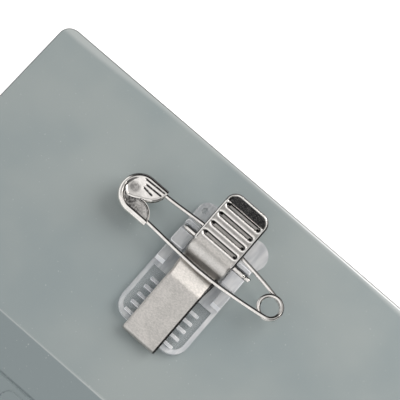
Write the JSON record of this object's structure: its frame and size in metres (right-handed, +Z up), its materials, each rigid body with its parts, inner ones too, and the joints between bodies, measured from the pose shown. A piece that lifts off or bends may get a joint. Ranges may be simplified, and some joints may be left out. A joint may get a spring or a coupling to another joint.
{
  "type": "name badge",
  "caption": "Rectangular card holder badge lying front down, with a clear clip base, a sprung metal jaw clip and a safety pin threaded round it.",
  "frame": {"origin": "middle of the front face, on the surface that the badge lies on", "axes": "+X along the long edge, +Y towards the edge worn uppermost, +Z up out of the back, where the clip is"},
  "size_m": [0.094, 0.06, 0.0118],
  "materials": {
    "window": "clear moulded sheet",
    "panel": "satin grey moulding",
    "clip_base": "clear moulding with soft edges",
    "clip_metal": "nickel plated spring sheet",
    "bright_metal": "bright nickel plate"
  },
  "bodies": {
    "badge": {"front_window": "window", "back_panel": "panel", "clip_base": "clip_base", "axle_bar": "bright_metal"},
    "clip": {"clip_lever": "clip_metal", "pin_wire": "bright_metal", "pin_cap": "bright_metal"}
  },
  "joints": [
    {"name": "clip_jaw", "type": "hinge", "parent": "badge", "child": "clip", "pos_m": [0, 0.0146, 0.00705], "axis": [-1, 0, 0], "range_deg": [0, 15], "stiffness_Nm_per_rad": 0.02, "springref_deg": -11.46}
  ]
}
